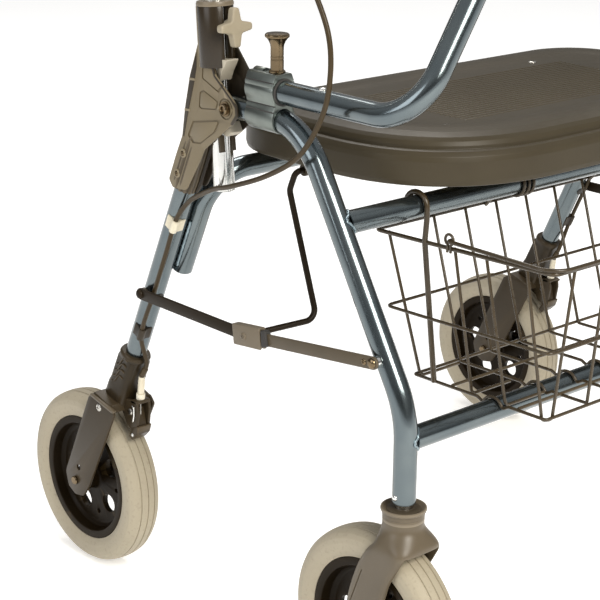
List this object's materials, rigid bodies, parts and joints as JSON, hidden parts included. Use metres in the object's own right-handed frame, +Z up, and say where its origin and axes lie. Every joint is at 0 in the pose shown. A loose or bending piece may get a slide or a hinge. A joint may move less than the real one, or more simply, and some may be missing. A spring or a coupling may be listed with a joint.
{
  "type": "rollator",
  "caption": "Folding four-wheeled rollator: tubular frame with a seat, wire basket, backrest hoop, swivel front wheels and cable brakes.",
  "frame": {"origin": "on the floor, at the middle of the walker in width and in length", "axes": "+Z up, -Y the walking direction, +X the left side of the walker"},
  "size_m": [0.7426, 0.682, 0.9046],
  "materials": {
    "anodised_blue": "steel-blue anodised tube, satin metallic",
    "block_aluminium": "grey-green anodised extrusion, satin",
    "bright_aluminium": "bright polished tube",
    "steel": "plated steel, lightly tinted",
    "hinge_plastic": "dark brown moulded plastic, satin",
    "fork_plastic": "taupe-grey moulded plastic, satin",
    "hub_plastic": "dark brown-black plastic, semi-gloss",
    "seat_plastic": "dark brown-black moulded plastic, satin",
    "black_paint": "black paint, semi-gloss",
    "basket_wire": "dark plastic-coated wire, semi-gloss",
    "tyre_grey": "beige-grey solid tyre, matt",
    "grip_rubber": "black rubber, matt",
    "knob_plastic": "beige-grey plastic, matt",
    "cable_sheath": "dark sheath, semi-gloss"
  },
  "bodies": {
    "front_frame": {"front_leg_right": "anodised_blue", "front_leg_left": "anodised_blue", "upper_cross_tube": "anodised_blue", "lower_cross_tube": "anodised_blue", "hinge_block_right": "block_aluminium", "hinge_block_left": "block_aluminium", "pivot_bolt_right": "steel", "pivot_bolt_left": "steel"},
    "rear_frame": {"rear_leg_right": "anodised_blue", "rear_leg_left": "anodised_blue", "hinge_shell_inner_right": "hinge_plastic", "hinge_shell_inner_left": "hinge_plastic", "hinge_shell_outer_right": "hinge_plastic", "hinge_shell_outer_left": "hinge_plastic", "leg_bracket_right": "black_paint", "leg_bracket_left": "black_paint", "brake_cable_right": "cable_sheath", "brake_cable_left": "cable_sheath", "cable_adjuster_right": "bright_aluminium", "cable_adjuster_left": "bright_aluminium", "rear_cross_tube": "anodised_blue"},
    "seat": {"seat": "seat_plastic"},
    "basket": {"basket": "basket_wire"},
    "basket_bail": {"basket_bail": "black_paint"},
    "backrest": {"backrest": "anodised_blue"},
    "seat_rod_right": {"seat_rod_right": "black_paint"},
    "brace_front_right": {"brace_front_right": "black_paint"},
    "brace_rear_right": {"brace_rear_right": "black_paint"},
    "rear_wheel_right": {"rear_tyre_right": "tyre_grey", "rear_hub_right": "hub_plastic", "rear_axle_right": "steel"},
    "caster_right": {"caster_fork_right": "fork_plastic"},
    "front_wheel_right": {"front_tyre_right": "tyre_grey", "front_hub_right": "hub_plastic", "front_axle_right": "steel"},
    "handle_right": {"handle_post_right": "bright_aluminium", "handle_grip_right": "grip_rubber", "lever_housing_right": "hub_plastic"},
    "brake_lever_right": {"brake_lever_right": "hub_plastic"},
    "brake_arm_right": {"brake_arm_right": "steel"},
    "star_knob_right": {"star_knob_right": "knob_plastic"},
    "plunger_right": {"plunger_right": "steel"},
    "seat_rod_left": {"seat_rod_left": "black_paint"},
    "brace_front_left": {"brace_front_left": "black_paint"},
    "brace_rear_left": {"brace_rear_left": "black_paint"},
    "rear_wheel_left": {"rear_tyre_left": "tyre_grey", "rear_hub_left": "hub_plastic", "rear_axle_left": "steel"},
    "caster_left": {"caster_fork_left": "fork_plastic"},
    "front_wheel_left": {"front_tyre_left": "tyre_grey", "front_hub_left": "hub_plastic", "front_axle_left": "steel"},
    "handle_left": {"handle_post_left": "bright_aluminium", "handle_grip_left": "grip_rubber", "lever_housing_left": "hub_plastic"},
    "brake_lever_left": {"brake_lever_left": "hub_plastic"},
    "brake_arm_left": {"brake_arm_left": "steel"},
    "star_knob_left": {"star_knob_left": "knob_plastic"},
    "plunger_left": {"plunger_left": "steel"}
  },
  "joints": [
    {"name": "rear_fold", "type": "hinge", "parent": "front_frame", "child": "rear_frame", "pos_m": [0, -0.015, 0.5685], "axis": [1, 0, 0], "range_deg": [-26, 0]},
    {"name": "seat_hinge", "type": "hinge", "parent": "front_frame", "child": "seat", "pos_m": [0, -0.162, 0.484], "axis": [1, 0, 0], "range_deg": [0, 60.4]},
    {"name": "backrest_slide", "type": "slide", "parent": "front_frame", "child": "backrest", "axis": [0, -1, 0], "range_m": [0, 0.03]},
    {"name": "basket_swing", "type": "hinge", "parent": "front_frame", "child": "basket", "pos_m": [0, -0.162, 0.484], "axis": [1, 0, 0], "range_deg": [-6, 0]},
    {"name": "bail_hinge", "type": "hinge", "parent": "basket", "child": "basket_bail", "pos_m": [0, -0.2082, 0.4605], "axis": [1, 0, 0], "range_deg": [-45, 0]},
    {"name": "seat_rod_pivot_right", "type": "hinge", "parent": "seat", "child": "seat_rod_right", "pos_m": [-0.28, -0.035, 0.4995], "axis": [1, 0, 0], "range_deg": [-38.6, 0]},
    {"name": "brace_pivot_right", "type": "hinge", "parent": "front_frame", "child": "brace_front_right", "pos_m": [-0.3555, -0.228, 0.372], "axis": [1, 0, 0], "range_deg": [0, 35.5]},
    {"name": "brace_knee_right", "type": "hinge", "parent": "brace_front_right", "child": "brace_rear_right", "pos_m": [-0.3555, -0.05, 0.35], "axis": [1, 0, 0], "range_deg": [-94, 0]},
    {"name": "rear_wheel_spin_right", "type": "hinge", "parent": "rear_frame", "child": "rear_wheel_right", "pos_m": [-0.338, 0.24, 0.1], "axis": [1, 0, 0], "continuous": true},
    {"name": "caster_swivel_right", "type": "hinge", "parent": "front_frame", "child": "caster_right", "pos_m": [-0.338, -0.255, 0.23], "axis": [0, 0, 1], "continuous": true},
    {"name": "front_wheel_spin_right", "type": "hinge", "parent": "caster_right", "child": "front_wheel_right", "pos_m": [-0.338, -0.224, 0.1], "axis": [1, 0, 0], "continuous": true},
    {"name": "handle_slide_right", "type": "slide", "parent": "rear_frame", "child": "handle_right", "axis": [0, 0.0736, 0.9973], "range_m": [0, 0.15], "deforming": ["brake_cable_right"]},
    {"name": "brake_lever_pivot_right", "type": "hinge", "parent": "handle_right", "child": "brake_lever_right", "pos_m": [-0.338, 0.088, 0.8455], "axis": [1, 0, 0], "range_deg": [0, 12], "stiffness_Nm_per_rad": 1.2},
    {"name": "brake_arm_pivot_right", "type": "hinge", "parent": "rear_frame", "child": "brake_arm_right", "pos_m": [-0.338, 0.157, 0.204], "axis": [1, 0, 0], "range_deg": [0, 3]},
    {"name": "knob_turn_right", "type": "hinge", "parent": "rear_frame", "child": "star_knob_right", "pos_m": [-0.338, 0.01627, 0.6425], "axis": [0, -0.9973, 0.0736], "range_deg": [0, 270]},
    {"name": "plunger_pull_right", "type": "slide", "parent": "front_frame", "child": "plunger_right", "axis": [0, 0, 1], "range_m": [0, 0.006], "stiffness_N_per_m": 600},
    {"name": "seat_rod_pivot_left", "type": "hinge", "parent": "seat", "child": "seat_rod_left", "pos_m": [0.28, -0.035, 0.4995], "axis": [1, 0, 0], "range_deg": [-38.6, 0]},
    {"name": "brace_pivot_left", "type": "hinge", "parent": "front_frame", "child": "brace_front_left", "pos_m": [0.3555, -0.228, 0.372], "axis": [1, 0, 0], "range_deg": [0, 35.5]},
    {"name": "brace_knee_left", "type": "hinge", "parent": "brace_front_left", "child": "brace_rear_left", "pos_m": [0.3555, -0.05, 0.35], "axis": [1, 0, 0], "range_deg": [-94, 0]},
    {"name": "rear_wheel_spin_left", "type": "hinge", "parent": "rear_frame", "child": "rear_wheel_left", "pos_m": [0.338, 0.24, 0.1], "axis": [1, 0, 0], "continuous": true},
    {"name": "caster_swivel_left", "type": "hinge", "parent": "front_frame", "child": "caster_left", "pos_m": [0.338, -0.255, 0.23], "axis": [0, 0, 1], "continuous": true},
    {"name": "front_wheel_spin_left", "type": "hinge", "parent": "caster_left", "child": "front_wheel_left", "pos_m": [0.338, -0.224, 0.1], "axis": [1, 0, 0], "continuous": true},
    {"name": "handle_slide_left", "type": "slide", "parent": "rear_frame", "child": "handle_left", "axis": [0, 0.0736, 0.9973], "range_m": [0, 0.15], "deforming": ["brake_cable_left"]},
    {"name": "brake_lever_pivot_left", "type": "hinge", "parent": "handle_left", "child": "brake_lever_left", "pos_m": [0.338, 0.088, 0.8455], "axis": [1, 0, 0], "range_deg": [0, 12], "stiffness_Nm_per_rad": 1.2},
    {"name": "brake_arm_pivot_left", "type": "hinge", "parent": "rear_frame", "child": "brake_arm_left", "pos_m": [0.338, 0.157, 0.204], "axis": [1, 0, 0], "range_deg": [0, 3]},
    {"name": "knob_turn_left", "type": "hinge", "parent": "rear_frame", "child": "star_knob_left", "pos_m": [0.338, 0.01627, 0.6425], "axis": [0, -0.9973, 0.0736], "range_deg": [0, 270]},
    {"name": "plunger_pull_left", "type": "slide", "parent": "front_frame", "child": "plunger_left", "axis": [0, 0, 1], "range_m": [0, 0.006], "stiffness_N_per_m": 600}
  ],
  "couplings": [
    {"joint": "seat_hinge", "follows": "rear_fold", "ratio": -2.3185},
    {"joint": "seat_rod_pivot_right", "follows": "rear_fold", "ratio": 1.4794},
    {"joint": "brace_pivot_right", "follows": "rear_fold", "ratio": -1.3602},
    {"joint": "brace_knee_right", "follows": "rear_fold", "ratio": 3.6095},
    {"joint": "brake_arm_pivot_right", "follows": "brake_lever_pivot_right", "ratio": 0.2},
    {"joint": "seat_rod_pivot_left", "follows": "rear_fold", "ratio": 1.4794},
    {"joint": "brace_pivot_left", "follows": "rear_fold", "ratio": -1.3602},
    {"joint": "brace_knee_left", "follows": "rear_fold", "ratio": 3.6095},
    {"joint": "brake_arm_pivot_left", "follows": "brake_lever_pivot_left", "ratio": 0.2}
  ]
}
